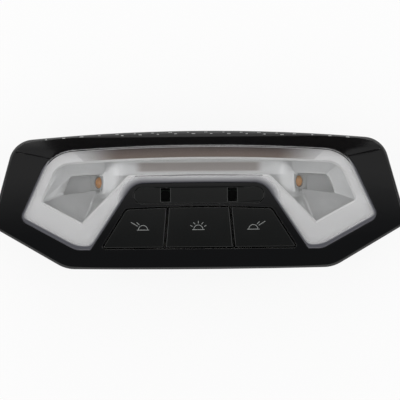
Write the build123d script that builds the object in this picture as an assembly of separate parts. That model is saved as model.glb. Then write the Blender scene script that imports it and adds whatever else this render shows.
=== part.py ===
from build123d import *

import os
from math import asin, cos, hypot, radians, sin, sqrt

# Roof dome light for a car: a black bezel, a clear horseshoe lens over two faceted reading-lamp
# reflectors, a motion-sensor cover and three push buttons, on a rear housing that clips into the
# headliner. It lies on its back. X runs along it, Y points to the edge with the long arched lens
# band, Z points out of the front. Z = 0 is the back of the housing. All sizes in millimetres.

# Driving dimensions

# Bezel outline at its sharp corners
bezel_height = 66.4
shoulder_width = 176.4
ear_width = 199.0
foot_width = 128.0
shoulder_drop = 4.4
ear_drop = 45.0
foot_rise = 0.6
shoulder_radius = 12.0
ear_radius = 5.0
foot_radius = 16.0

# Depths and the crowned front, which rolls back towards the top edge
front_z = 35.0
seat_z = 22.0
crown_radius = 300.0
roll_start = 18.5
roll_radius = 32.0
roll_end_angle = 52.0
crown_reach = 48.0

# Bezel walls
bezel_wall = 2.2
bezel_face = 2.2
bezel_edge_chamfer = 1.0
aperture_gap = 0.15

# Buttons, three in a row that widens towards the bottom
button_row_margin = 10.2
button_height = 19.9
button_row_top_width = 70.0
button_row_foot_width = 93.8
centre_button_top_width = 29.3
centre_button_foot_width = 32.8
button_row_bow = 1.0
button_row_top_radius = 3.0
button_row_foot_radius = 1.0
button_spacing = 0.5
button_clearance = 0.3
button_recess = 0.2
button_edge_chamfer = 0.6
button_face = 1.8
button_wall = 1.2
button_skirt = 5.6
button_travel = 0.8
stem_width = 5.0
lug_length = 6.0
lug_reach = 0.9
lug_thickness = 1.2
lug_clearance = 0.12

# Motion-sensor cover above the buttons
sensor_web = 1.4
sensor_length = 62.4
sensor_height = 7.9
sensor_recess = 0.1
sensor_wall = 1.2
sensor_face = 1.6
sensor_depth = 7.2
sensor_tab_reach = 1.0
sensor_tab_width = 3.0
sensor_tab_thickness = 1.2
slot_spacing = 32.0
slot_width = 4.3
slot_sill = 1.0
capsule_radius = 2.4
capsule_height = 4.0
sensor_board_thickness = 1.2
sensor_board_inset = 0.5

# Black island between the legs of the lens
island_cap = 2.3
island_border_top = 3.6
island_border_foot = 4.9
island_bow = 0.4
island_radius = 9.0

# Clear lens
lens_top_margin = 6.7
lens_shoulder_margin = 17.1
lens_shoulder_drop = 2.8
lens_ear_margin = 13.6
lens_ear_rise = 2.9
lens_foot_margin = 9.6
lens_foot_inset = 4.9
lens_shoulder_radius = 18.0
lens_ear_radius = 4.0
lens_foot_radius = 8.0
lens_tip_radius = 0.8
lens_proud = 0.5
lens_thickness = 2.0
lens_skirt = 0.9
lens_edge_chamfer = 0.5
lens_flange = 1.0
lens_flange_thickness = 1.2
lens_seat_gap = 0.1

# Silver trim frame under the lens and its window
trim_gap = 0.12
trim_thickness = 1.2
trim_window_chamfer = 0.9
trim_foot_reveal = 0.8
window_top_margin = 6.2
window_shoulder_inset = 3.1
window_shoulder_margin = 5.8
window_shoulder_radius = 10.0
window_ear_inset = 9.9
window_ear_rise = 8.1
window_ear_radius = 2.0
window_vertex_inset = 3.7
window_vertex_rise = 12.0
window_vertex_radius = 1.0
window_arch_inset = 2.3
window_arch_margin = 3.1
window_arch_radius = 3.0

# Reflector: two faceted wells and the arched band that joins them. A facet's slope is its
# fall for each millimetre away from the edge it starts at.
reflector_plate = 1.2
reflector_wall = 1.4
well_top_drop = 6.5
well_inner_inset = 2.8
top_facet_slope = 0.44
outer_facet_slope = 0.33
lower_facet_slope = 0.33
inner_facet_slope = 0.92
cavity_depth = 11.5
cavity_top_drop = 8.3
cavity_inner_inset = 12.4
cavity_length = 15.8
cavity_ear_inset = 10.4
cavity_ear_rise = 3.5
cavity_end_height = 6.5
cavity_radius = 2.0
end_wall_lean = 36.0
band_radius = 16.0
band_rise = 1.6
band_crest_inset = 1.3
ramp_lead = 3.5
ramp_radius = 30.0

# Reading-lamp light sources, each on a small board behind the leaning end wall of its cavity
led_radius = 2.7
led_tip_radius = 1.6
led_height = 2.3
led_clearance = 0.3
led_slide = 4.2
led_board_length = 7.6
led_board_width = 8.0
led_board_thickness = 1.0

# Circuit board and what stands on it
board_side_margin = 6.0
board_inset = 3.1
board_z = 9.0
board_thickness = 1.6
board_corner_radius = 3.0
switch_width = 6.2
switch_height = 3.5
switch_rise = -1.0
plunger_width = 3.0
plunger_height = 1.5
plunger_clearance = 0.15
backlight_length = 3.2
backlight_width = 2.8
backlight_height = 1.1
backlight_rise = 5.0
chip_width = 7.0
chip_height = 1.0
chip_rise = 4.0
header_length = 11.0
header_width = 2.5
header_height = 2.5
header_gap = 1.5
pin_pitch = 2.54
pin_width = 0.64
sensor_pin_count = 4

# Button guide between the board and the buttons
guide_plate = 2.0
guide_clearance = 0.4
guide_wall = 1.2
guide_top_gap = 0.3
guide_hole_clearance = 0.25
guide_leg_width = 4.0
guide_peg_width = 2.0
guide_peg_clearance = 0.1
guide_leg_spread = 36.0
guide_leg_rise = 6.0

# Connector
connector_width = 24.0
connector_height = 10.0
connector_length = 17.0
connector_reach = 1.0
connector_wall = 1.5
connector_cavity_depth = 12.0
connector_clearance = 0.2
connector_pin_count = 8
connector_pin_run = 7.0
key_spacing = 12.0
key_width = 1.2
key_height = 0.8

# Rear housing
tub_inset = 8.4
tub_wall = 2.0
tub_floor = 2.0
tub_draft = 3.0
tub_corner_cut = 4.0
tub_edge_chamfer = 2.0
gusset_reach = 4.5
gusset_height = 6.0
gusset_thickness = 1.2
gusset_top_places = (18.0, 32.0, 70.0)
gusset_foot_places = (0.0, 15.0, 30.0)
vent_width = 1.8
vent_height = 8.0
vent_low_z = 8.0
vent_pitch = 3.6
vent_count = 4
vent_start_x = 61.0
flange_gap = 0.2
flange_lift = 0.4
flange_thickness = 2.0
post_width = 5.0
post_rib = 1.2
post_inset = 6.0
prop_width = 3.2
prop_gap = 0.1
prop_beside = 3.7
prop_below = 6.0
prop_above_x = 60.0
prop_above_drop = 1.7
back_recess = 0.8
back_rib = 2.4
back_rib_count = 5

# Housing screws, drawn with eight-sided shanks and holes
screw_sides = 8
screw_inset = 5.4
screw_top_x = 78.5
screw_boss_radius = 2.6
screw_hole_radius = 1.2
screw_shank_radius = 1.1
screw_length = 7.0
screw_head_radius = 2.2
screw_head_height = 1.6
screw_clear_radius = 1.4
screw_end_gap = 0.6

# Spring clips that hold the lamp in the headliner
clip_spacing = 100.0
clip_width = 10.0
clip_sheet = 0.6
clip_pad_width = 13.0
clip_pad_depth = 1.0
clip_low_z = 4.0
clip_high_z = 20.0
clip_bend_radius = 1.5
clip_reach = 5.0
clip_knee_z = 14.5
clip_tip_reach = 2.4

# Worked-out positions

bezel_top = bezel_height / 2
bezel_bottom = -bezel_height / 2
ear_y = bezel_top - ear_drop
shoulder_y = bezel_top - shoulder_drop
foot_y = bezel_bottom + foot_rise

button_foot_y = bezel_bottom + button_row_margin
button_top_y = button_foot_y + button_height
sensor_low_y = button_top_y + sensor_web
sensor_mid_y = sensor_low_y + sensor_height / 2
island_top_y = sensor_low_y + sensor_height + island_cap

lens_top_y = bezel_top - lens_top_margin
lens_shoulder = (shoulder_width / 2 - lens_shoulder_margin, lens_top_y - lens_shoulder_drop)
lens_ear = (ear_width / 2 - lens_ear_margin, ear_y + lens_ear_rise)
lens_foot = (foot_width / 2 - lens_foot_inset, bezel_bottom + lens_foot_margin)

window_top_y = lens_top_y - window_top_margin
window_shoulder = (lens_shoulder[0] - window_shoulder_inset, lens_shoulder[1] - window_shoulder_margin)
window_ear = (lens_ear[0] - window_ear_inset, lens_ear[1] + window_ear_rise)

lens_back_depth = bezel_face + lens_seat_gap + lens_flange_thickness
trim_depth = lens_thickness - lens_proud + trim_gap
plate_depth = trim_depth + trim_thickness + trim_gap
plate_back_depth = plate_depth + reflector_plate
well_z = front_z - well_top_drop
ramp_top_z = well_z + band_rise

board_top_z = board_z + board_thickness
plunger_top_z = board_top_z + switch_height + plunger_height
switch_y = (button_top_y + button_foot_y) / 2 + switch_rise
sensor_back_z = front_z - sensor_depth
flange_z = seat_z + flange_lift
flange_top_z = flange_z + flange_thickness
guide_z = flange_top_z
tub_top_y = shoulder_y - tub_inset
tub_foot_y = foot_y + tub_inset
connector_mouth_y = tub_top_y + connector_reach
board_width = foot_width - 2 * board_side_margin
board_low_y = tub_foot_y + board_inset
board_high_y = tub_top_y - board_inset
board_height = board_high_y - board_low_y
board_mid_y = (board_low_y + board_high_y) / 2
header_x = connector_width / 2 + header_gap + header_length / 2


def island_side_x(y):
    # Half width of the island, whose sides spread towards the bottom
    top = button_row_top_width / 2 + island_border_top
    foot = button_row_foot_width / 2 + island_border_foot
    return top + (foot - top) * (button_top_y - y) / button_height


def top_edge_y(x):
    # Height of the bezel's arched top edge
    radius = ((shoulder_width / 2) ** 2 + shoulder_drop ** 2) / (2 * shoulder_drop)
    return bezel_top - radius + sqrt(radius ** 2 - x ** 2)


lens_tip = (island_side_x(lens_foot[1]), lens_foot[1])
island_corner = (island_side_x(island_top_y - island_bow), island_top_y - island_bow)
window_vertex = (lens_tip[0] + window_vertex_inset, lens_tip[1] + window_vertex_rise)
window_arch = (island_corner[0] + window_arch_inset, island_corner[1] + window_arch_margin)
ramp_start = window_arch[0] - ramp_lead

# The switch under an outer button stands at the middle of that button
outer_top = (centre_button_top_width + button_row_top_width) / 4
outer_foot = (centre_button_foot_width + button_row_foot_width) / 4
switch_x = {"left": -(outer_top + outer_foot) / 2, "centre": 0.0, "right": (outer_top + outer_foot) / 2}


# Shared shapes

def outline(corners):
    # Closed face, clockwise, through corners given as (x, y, corner radius, outward bow of next edge)
    edges = []
    for (x0, y0, _, bow), (x1, y1, _, _) in zip(corners, corners[1:] + corners[:1]):
        if bow:
            length = hypot(x1 - x0, y1 - y0)
            middle_x = (x0 + x1) / 2 - (y1 - y0) / length * bow
            middle_y = (y0 + y1) / 2 + (x1 - x0) / length * bow
            edges.append(ThreePointArc((x0, y0), (middle_x, middle_y), (x1, y1)))
        else:
            edges.append(Line((x0, y0), (x1, y1)))
    face = make_face(edges).face()
    for x, y, radius, _ in corners:
        if radius:
            corner = face.vertices().sort_by_distance((x, y))[0]
            face = face.fillet_2d(radius, [corner])
    return face


def symmetric_outline(right, top_bow, bottom_bow):
    # Outline from its right-hand corners (x, y, radius), top to bottom, mirrored across X = 0
    corners = [(x, y, radius, 0) for x, y, radius in right]
    corners[-1] = (*right[-1], bottom_bow)
    mirrored = [(-x, y, radius, 0) for x, y, radius in reversed(right)]
    mirrored[-1] = (*mirrored[-1][:3], top_bow)
    return outline(corners + mirrored)


def grow(face, amount):
    return offset(face, amount, kind=Kind.INTERSECTION)


def prism(face, low, high):
    return extrude(Pos(0, 0, low) * face, amount=high - low, dir=(0, 0, 1))


def column(face, low, depth):
    # Prism from the height low up to the surface that lies depth below the crowned front
    return prism(face, low, front_z + 5) & under_crown(depth)


def under_crown(depth):
    # Everything below the front surface moved in by depth: two tangent arcs about fixed centres in
    # the YZ plane, drawn out along X
    tilt = asin(roll_start / crown_radius)
    main_z = front_z - crown_radius
    roll_y = (crown_radius - roll_radius) * sin(tilt)
    roll_z = main_z + (crown_radius - roll_radius) * cos(tilt)
    main_r = crown_radius - depth
    roll_r = roll_radius - depth

    def on_main(angle):
        return (main_r * sin(angle), main_z + main_r * cos(angle))

    def on_roll(angle):
        return (roll_y + roll_r * sin(angle), roll_z + roll_r * cos(angle))

    start = -asin(crown_reach / main_r)
    end = radians(roll_end_angle)
    main_arc = ThreePointArc(on_main(start), on_main((start + tilt) / 2), on_main(tilt))
    roll_arc = ThreePointArc(on_main(tilt), on_roll((tilt + end) / 2), on_roll(end))
    corners = [(on_roll(end)[0], -front_z), (on_main(start)[0], -front_z)]
    base = Polyline(on_roll(end), *corners, on_main(start))
    section = Plane.YZ.offset(-ear_width) * make_face([main_arc, roll_arc, base])
    return extrude(section, 2 * ear_width, dir=(1, 0, 0))


def front_edges(solid):
    # Edges around the crowned front of a column, without the tangent line inside it
    upper = [face for face in solid.faces() if face.normal_at().Z > 0.5]
    edges = [edge for face in upper for edge in face.edges()]
    return [edge for edge in edges if sum(edge.is_same(other) for other in edges) == 1]


def box_between(low, high):
    size = [b - a for a, b in zip(low, high)]
    return Pos(*low) * Box(*size, align=(Align.MIN, Align.MIN, Align.MIN))


def cylinder_between(x, y, radius, low, high):
    return Pos(x, y, low) * Cylinder(radius, high - low, align=(Align.CENTER, Align.CENTER, Align.MIN))


def square(x, y, width):
    return Pos(x, y) * Rectangle(width, width)


def screw_section(x, y, radius):
    return Pos(x, y) * RegularPolygon(radius, screw_sides)


def both_sides(solid):
    return solid + mirror(solid, Plane.YZ)


# Outlines seen from the front


def hexagon(shoulder, ear, foot, top_bow, bottom_bow):
    # The bezel's six corners with the given corner radii and bows of the long edges
    return symmetric_outline(
        [
            (shoulder_width / 2, shoulder_y, shoulder),
            (ear_width / 2, ear_y, ear),
            (foot_width / 2, foot_y, foot),
        ],
        top_bow,
        bottom_bow,
    )


bezel_outline = hexagon(shoulder_radius, ear_radius, foot_radius, shoulder_drop, foot_rise)


def horseshoe(foot_lift):
    # Outline of the lens, with its lower edges moved up by foot_lift along the sides
    side_slope = (lens_ear[0] - lens_shoulder[0]) / (lens_shoulder[1] - lens_ear[1])
    return symmetric_outline(
        [
            (*lens_shoulder, lens_shoulder_radius),
            (lens_ear[0] - side_slope * foot_lift, lens_ear[1] + foot_lift, lens_ear_radius),
            (lens_foot[0], lens_foot[1] + foot_lift, lens_foot_radius),
            (island_side_x(lens_tip[1] + foot_lift), lens_tip[1] + foot_lift, lens_tip_radius),
            (*island_corner, island_radius),
        ],
        lens_shoulder_drop,
        -island_bow,
    )


lens_outline = horseshoe(0)
trim_outline = grow(horseshoe(trim_foot_reveal), -lens_skirt - trim_gap)

window_outline = symmetric_outline(
    [
        (*window_shoulder, window_shoulder_radius),
        (*window_ear, window_ear_radius),
        (*window_vertex, window_vertex_radius),
        (*window_arch, window_arch_radius),
    ],
    window_top_y - window_shoulder[1],
    -island_bow,
)
window_wall_outline = grow(window_outline, reflector_wall)

button_row_outline = symmetric_outline(
    [
        (button_row_top_width / 2, button_top_y - button_row_bow, button_row_top_radius),
        (button_row_foot_width / 2, button_foot_y, button_row_foot_radius),
    ],
    button_row_bow,
    0,
)

sensor_outline = Pos(0, sensor_mid_y) * SlotOverall(sensor_length, sensor_height)
tub_outline = grow(hexagon(0, 0, 0, 0, 0), -tub_inset)
tub_outline = chamfer(tub_outline.vertices(), tub_corner_cut)

# Screw places on the right: one under the top edge, one in from the middle of the lower edge
lower_dx = ear_width / 2 - foot_width / 2
lower_dy = ear_y - foot_y
lower_length = hypot(lower_dx, lower_dy)
screw_places = [
    (screw_top_x, top_edge_y(screw_top_x) - screw_inset),
    (
        (ear_width + foot_width) / 4 - lower_dy / lower_length * screw_inset,
        (ear_y + foot_y) / 2 + lower_dx / lower_length * screw_inset,
    ),
]
screw_places = [(side * x, y) for side in (1, -1) for x, y in screw_places]


# Front pieces

def make_bezel():
    shell = column(bezel_outline, seat_z, 0)
    shell = chamfer(front_edges(shell), bezel_edge_chamfer)
    shell -= column(grow(bezel_outline, -bezel_wall), seat_z, bezel_face)
    for x, y in screw_places:
        hole_top = flange_z + screw_length + screw_end_gap
        shell += column(screw_section(x, y, screw_boss_radius), flange_top_z, bezel_face / 2)
        shell -= prism(screw_section(x, y, screw_hole_radius), flange_top_z, hole_top)
    for aperture, gap in (
        (lens_outline, aperture_gap),
        (button_row_outline, button_clearance),
        (sensor_outline, aperture_gap),
    ):
        shell -= prism(grow(aperture, gap), seat_z, front_z + 5)
    return shell


def make_lens():
    body = column(lens_outline, seat_z, -lens_proud)
    body = chamfer(front_edges(body), lens_edge_chamfer)
    body -= under_crown(lens_back_depth)
    body -= column(grow(lens_outline, -lens_skirt), seat_z, lens_thickness - lens_proud)
    flange = column(grow(lens_outline, lens_flange), seat_z, bezel_face + lens_seat_gap)
    flange -= under_crown(lens_back_depth)
    flange -= prism(grow(lens_outline, -lens_skirt / 2), seat_z, front_z)
    return body + flange


def make_trim_frame():
    sheet = column(trim_outline, seat_z, trim_depth) - under_crown(trim_depth + trim_thickness)
    opening = grow(window_outline, -trim_window_chamfer)
    sheet -= prism(opening, seat_z, front_z)
    rim = [edge for edge in front_edges(sheet) if over_edge(opening, edge @ 0.5)]
    return chamfer(rim, trim_window_chamfer)


def over_edge(face, point):
    # Whether a point lies straight above the edge of a flat face
    return face.face().outer_wire().distance_to(Vector(point.X, point.Y, 0)) < trim_gap


def make_sensor_cover():
    cover = column(sensor_outline, sensor_back_z, sensor_recess)
    cover -= column(grow(sensor_outline, -sensor_wall), sensor_back_z, sensor_recess + sensor_face)
    slot_z = sensor_back_z + sensor_depth / 2
    for side in (1, -1):
        low = (side * slot_spacing / 2 - slot_width / 2, sensor_low_y + slot_sill, slot_z)
        high = (low[0] + slot_width, sensor_low_y + sensor_height - slot_sill / 2, front_z + 5)
        cover -= box_between(low, high)
        tab_face = Rectangle(2 * sensor_tab_reach, sensor_tab_width)
        tab_place = Pos(side * sensor_length / 2, sensor_mid_y)
        tab = column(tab_place * tab_face, sensor_back_z, bezel_face + lug_clearance)
        cover += tab - under_crown(bezel_face + lug_clearance + sensor_tab_thickness)
    return cover


# Buttons

def button_face_outline(side):
    # One button's share of the row, cut from it by the slanted gaps
    top = centre_button_top_width / 2
    foot = centre_button_foot_width / 2
    centre = make_face(
        Polyline(
            (-top, button_top_y),
            (top, button_top_y),
            (foot, button_foot_y),
            (-foot, button_foot_y),
            close=True,
        )
    )
    if side == "centre":
        return (button_row_outline & centre).face()
    sign = 1 if side == "right" else -1
    wide = button_row_foot_width
    share = make_face(
        Polyline(
            (sign * (top + button_spacing), button_top_y),
            (sign * wide, button_top_y),
            (sign * wide, button_foot_y),
            (sign * (foot + button_spacing), button_foot_y),
            close=True,
        )
    )
    return (button_row_outline & share).face()


def make_button(side):
    face = button_face_outline(side)
    skirt_z = front_z - button_skirt - button_face
    body = column(face, skirt_z, button_recess)
    body = chamfer(front_edges(body), button_edge_chamfer)
    body -= column(grow(face, -button_wall), skirt_z, button_recess + button_face)
    stem = square(switch_x[side], switch_y, stem_width)
    body += column(stem, plunger_top_z, button_recess + button_face / 2)
    for y, out in ((button_top_y - button_row_bow, 1), (button_foot_y, -1)):
        reach = lug_reach + (button_row_bow if out > 0 else 0)
        lug_face = Rectangle(lug_length, reach + button_wall)
        lug_place = Pos(switch_x[side], y + out * (reach - button_wall) / 2)
        lug = column(lug_place * lug_face, skirt_z, bezel_face + lug_clearance)
        body += lug - under_crown(bezel_face + lug_clearance + lug_thickness)
    return body


def make_button_guide():
    outer = grow(button_row_outline, guide_clearance + guide_wall)
    inner = grow(button_row_outline, guide_clearance)
    plate_top = guide_z + guide_plate
    guide = prism(outer, guide_z, sensor_back_z - guide_top_gap)
    guide -= prism(inner, plate_top, front_z)
    hole = stem_width + 2 * guide_hole_clearance
    for x in switch_x.values():
        guide -= prism(square(x, switch_y, hole), guide_z - 1, plate_top + 1)
    for x, y in guide_leg_places():
        guide += prism(square(x, y, guide_leg_width), board_top_z, guide_z)
        guide += prism(square(x, y, guide_peg_width), board_z, board_top_z)
    return guide


def guide_leg_places():
    low_y = button_foot_y + guide_leg_rise
    high_y = button_top_y - guide_leg_rise
    return [(side * guide_leg_spread, y) for side in (1, -1) for y in (low_y, high_y)]


# Reflector and reading lamps

def above(origin, normal):
    # Half space on the side of a plane that its normal points to
    span = 4 * ear_width
    block = Box(span, span, span, align=(Align.CENTER, Align.CENTER, Align.MIN))
    return Plane(origin=origin, z_dir=normal) * block


def facet(start, end, slope, extra):
    # Half space above a facet that falls from the edge start-end, inwards to the right of that edge
    dx = end[0] - start[0]
    dy = end[1] - start[1]
    length = hypot(dx, dy)
    normal = Vector(-dy / length * slope, dx / length * slope, -1) * -1
    origin = Vector(start[0], start[1], well_z) - normal.normalized() * extra
    return above(origin, normal)


def end_wall(extra):
    # Plane of the leaning wall at the inner end of the right-hand cavity, moved back by extra
    wall_x = window_arch[0] + cavity_inner_inset
    wall_z = ramp_top_z - ramp_radius + sqrt(ramp_radius ** 2 - (wall_x - ramp_start) ** 2)
    middle_y = window_top_y - cavity_top_drop - cavity_end_height / 2
    lean = radians(end_wall_lean)
    normal = Vector(cos(lean), 0, sin(lean))
    down = Vector(sin(lean), 0, -cos(lean))
    origin = Vector(wall_x, middle_y, wall_z) + down * led_slide - normal * extra
    return Plane(origin=origin, x_dir=(0, 1, 0), z_dir=normal)


def well_space(extra):
    # Hollow of the right-hand well, or with extra the outside of the wall around it
    inner_x = window_arch[0] + well_inner_inset
    inner_top = (inner_x, window_top_y)
    reach = Pos(inner_x - extra, 0) * Rectangle(ear_width, bezel_height, align=(Align.MIN, Align.CENTER))
    face = (window_wall_outline if extra else window_outline) & reach
    space = prism(face, 0, well_z)
    space &= facet(inner_top, window_shoulder, top_facet_slope, extra)
    space &= facet(window_shoulder, window_ear, outer_facet_slope, extra)
    space &= facet(window_ear, window_vertex, lower_facet_slope, extra)
    space &= facet(window_vertex, window_arch, inner_facet_slope, extra)
    space -= under_ramp(extra)
    return space + cavity_space(extra)


def under_ramp(extra):
    # Everything below the band's level and the round ramp that leads from it down to the right-hand
    # cavity, moved in by extra
    low = (-ear_width, -bezel_height, -front_z)
    level = box_between(low, (ramp_start, bezel_height, ramp_top_z - extra))
    roller = Rot(90, 0, 0) * Cylinder(ramp_radius - extra, 3 * bezel_height)
    return level + Pos(ramp_start, 0, ramp_top_z - ramp_radius) * roller


def cavity_space(extra):
    # Deeper pocket in the middle of the well, with the leaning wall at its inner end
    top_y = window_top_y - cavity_top_drop
    inner_x = window_arch[0] + cavity_inner_inset
    radius = 0 if extra else cavity_radius
    face = outline(
        [
            (inner_x, top_y, radius, 0),
            (inner_x + cavity_length, top_y, radius, 0),
            (window_ear[0] - cavity_ear_inset, window_ear[1] + cavity_ear_rise, radius / 2, 0),
            (inner_x, top_y - cavity_end_height, radius, 0),
        ]
    )
    if extra:
        face = grow(face, extra)
    pocket = prism(face, well_z - cavity_depth - extra, well_z)
    wall = end_wall(extra)
    return pocket & above(wall.origin, wall.z_dir)


def make_reflector():
    # Right half, with one well and half of the band, and its mirror image
    plate = column(trim_outline, seat_z, plate_depth) - under_crown(plate_back_depth)
    rim = column(window_wall_outline, well_z - reflector_wall, (plate_depth + plate_back_depth) / 2)
    right = box_between((0, -bezel_height, 0), (ear_width, bezel_height, front_z))
    half = (plate + rim) & right
    half += well_space(reflector_wall)
    half -= well_space(0)
    half -= prism(window_outline, well_z, front_z)
    half += band_floor()
    half -= end_wall(0) * Cylinder(led_radius + led_clearance, 4 * reflector_wall)
    return both_sides(half)


def band_floor():
    # Right half of the floor between the wells: a long crest near its lower edge that falls away
    # upwards, and ends in the ramp
    end_x = ramp_start + sqrt(ramp_radius ** 2 - (ramp_radius - band_rise) ** 2)
    crest_y = window_arch[1] + band_crest_inset
    floor = prism(window_outline, well_z - reflector_wall, ramp_top_z)
    floor &= box_between((0, -bezel_height, 0), (end_x, bezel_height, front_z))
    roller = Rot(0, 90, 0) * Cylinder(band_radius, 3 * end_x)
    floor &= Pos(0, crest_y, ramp_top_z - band_radius) * roller
    return floor & under_ramp(0)


def make_led_board(sign):
    sheet = Rectangle(led_board_width, led_board_length)
    board = end_wall(reflector_wall) * prism(sheet, -led_board_thickness, 0)
    return board if sign > 0 else mirror(board, Plane.YZ)


def make_reading_led(sign):
    dome = Cone(led_radius, led_tip_radius, led_height, align=(Align.CENTER, Align.CENTER, Align.MIN))
    led = end_wall(reflector_wall) * dome
    return led if sign > 0 else mirror(led, Plane.YZ)


# Electronics

def make_circuit_board():
    face = Pos(0, board_mid_y) * RectangleRounded(board_width, board_height, board_corner_radius)
    board = prism(face, board_z, board_top_z)
    slot = guide_peg_width + 2 * guide_peg_clearance
    for x, y in guide_leg_places():
        board -= prism(square(x, y, slot), board_z, board_top_z)
    return board


def make_switch(side):
    x = switch_x[side]
    bore = plunger_width + 2 * plunger_clearance
    body = prism(square(x, switch_y, switch_width), board_top_z, board_top_z + switch_height)
    return body - prism(square(x, switch_y, bore), board_top_z + switch_height / 3, plunger_top_z)


def make_plunger(side):
    low = board_top_z + switch_height / 3 + button_travel + plunger_clearance
    return prism(square(switch_x[side], switch_y, plunger_width), low, plunger_top_z)


def make_backlights():
    lights = []
    for x in switch_x.values():
        face = Pos(x, switch_y + backlight_rise) * Rectangle(backlight_length, backlight_width)
        lights.append(prism(face, board_top_z, board_top_z + backlight_height))
    return Compound(children=lights)


def make_control_chip():
    face = square(header_x + header_length, sensor_mid_y + chip_rise, chip_width)
    return prism(face, board_top_z, board_top_z + chip_height)


def make_sensor_board():
    width = sensor_height - 2 * sensor_board_inset
    face = Pos(0, sensor_mid_y) * Rectangle(sensor_length - sensor_height, width)
    return prism(face, sensor_back_z - sensor_board_thickness, sensor_back_z)


def make_sensor_capsule(sign):
    x = sign * slot_spacing / 2
    top_z = sensor_back_z + capsule_height
    return cylinder_between(x, sensor_mid_y, capsule_radius, sensor_back_z, top_z)


def make_sensor_header():
    place = Pos(header_x, sensor_mid_y, board_top_z + header_height / 2)
    return place * Box(header_length, header_width, header_height)


def make_sensor_pins():
    low = board_top_z + header_height
    high = sensor_back_z - sensor_board_thickness
    pins = []
    for index in range(sensor_pin_count):
        x = header_x + (index - (sensor_pin_count - 1) / 2) * pin_pitch
        pins.append(Pos(x, sensor_mid_y, (low + high) / 2) * Box(pin_width, pin_width, high - low))
    return Compound(children=pins)


def make_connector_shell():
    half = connector_width / 2
    wall = connector_wall
    shell = box_between(
        (-half, connector_mouth_y - connector_length, board_top_z),
        (half, connector_mouth_y, board_top_z + connector_height),
    )
    shell -= box_between(
        (-half + wall, connector_mouth_y - connector_cavity_depth, board_top_z + wall),
        (half - wall, connector_mouth_y + 1, board_top_z + connector_height - wall),
    )
    for side in (1, -1):
        x = side * key_spacing / 2 - key_width / 2
        low = (x, connector_mouth_y - connector_cavity_depth, board_top_z + wall)
        shell += box_between(low, (x + key_width, connector_mouth_y, low[2] + key_height))
    return shell


def make_connector_pins():
    base_y = connector_mouth_y - connector_cavity_depth
    z = board_top_z + connector_height / 2
    pins = []
    for index in range(connector_pin_count):
        x = (index - (connector_pin_count - 1) / 2) * pin_pitch
        low = (x - pin_width / 2, base_y, z - pin_width / 2)
        high = (x + pin_width / 2, base_y + connector_pin_run, z + pin_width / 2)
        pins.append(box_between(low, high))
    return Compound(children=pins)


# Rear housing and its fixings

def clip_places():
    # Middle of each clip pad's outer face, with the direction it faces
    upper = (tub_top_y + clip_pad_depth, 1)
    lower = (tub_foot_y - clip_pad_depth, -1)
    return [(side * clip_spacing / 2, y, out) for side in (1, -1) for y, out in (upper, lower)]


def make_rear_housing():
    tub = tub_space(0, flange_z)
    tub = chamfer(tub.faces().sort_by(Axis.Z)[0].edges(), tub_edge_chamfer)
    tub += prism(grow(bezel_outline, -bezel_wall - flange_gap), flange_z, flange_top_z)
    for x, y, out in clip_places():
        low_y, high_y = sorted((y, y - out * (clip_pad_depth + tub_wall)))
        low = (x - clip_pad_width / 2, low_y, clip_low_z - clip_bend_radius)
        tub += box_between(low, (x + clip_pad_width / 2, high_y, flange_z))
    for gusset in gussets():
        tub += gusset
    tub -= tub_space(tub_wall, flange_z - tub_floor)
    tub -= prism(grow(tub_outline, -tub_wall), flange_z, front_z)
    half = connector_width / 2 + connector_clearance
    tub -= box_between(
        (-half, 0, board_top_z - connector_clearance),
        (half, bezel_top, board_top_z + connector_height + connector_clearance),
    )
    for index in range(vent_count):
        low = (vent_start_x + index * vent_pitch, 0, vent_low_z)
        vent = box_between(low, (low[0] + vent_width, bezel_top, low[2] + vent_height))
        tub -= both_sides(vent)
    for y in (board_low_y + post_inset, board_high_y - post_inset):
        post = prism(Pos(board_width / 2 - post_inset, y) * cross(post_width), tub_floor / 2, board_z)
        tub += both_sides(post)
    for x, y, base_z in prop_places():
        tub += column(Pos(x, y) * cross(prop_width), base_z, plate_back_depth + prop_gap)
    for x, y in screw_places:
        tub -= prism(screw_section(x, y, screw_clear_radius), flange_z, flange_top_z)
    return tub - back_pockets()


def cross(width):
    # Section of a ribbed post
    return Rectangle(width, post_rib) + Rectangle(post_rib, width)


def tub_space(inset, depth):
    # Drafted block from the flange towards the back, inset from the tub's outline
    face = grow(tub_outline, -inset) if inset else tub_outline
    return extrude(Pos(0, 0, flange_z) * face, amount=depth, dir=(0, 0, -1), taper=tub_draft)


def gussets():
    # Triangular ribs that brace the flange against the long walls
    ribs = []
    for out, places in ((1, gusset_top_places), (-1, gusset_foot_places)):
        for x in sorted({side * place for side in (1, -1) for place in places}):
            wall_y = tub_top_y if out > 0 else tub_foot_y
            triangle = make_face(
                Polyline(
                    (wall_y - out * tub_wall, flange_z),
                    (wall_y + out * gusset_reach, flange_z),
                    (wall_y - out * tub_wall, flange_z - gusset_height),
                    close=True,
                )
            )
            section = Plane.YZ.offset(x - gusset_thickness / 2) * triangle
            ribs.append(extrude(section, gusset_thickness, dir=(1, 0, 0)))
    return ribs


def prop_places():
    # Props that carry the reflector plate: beside and below the window from the floor of the tub,
    # and above it from the flange
    beside = (window_ear[0] + prop_beside, window_ear[1] - prop_beside / 2, tub_floor / 2)
    below = (window_vertex[0] + prop_below, window_vertex[1] - prop_below / 2, tub_floor / 2)
    over = (prop_above_x, (window_top_y + lens_top_y) / 2 - prop_above_drop, flange_z)
    return [(side * x, y, z) for side in (1, -1) for x, y, z in (beside, below, over)]


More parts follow.
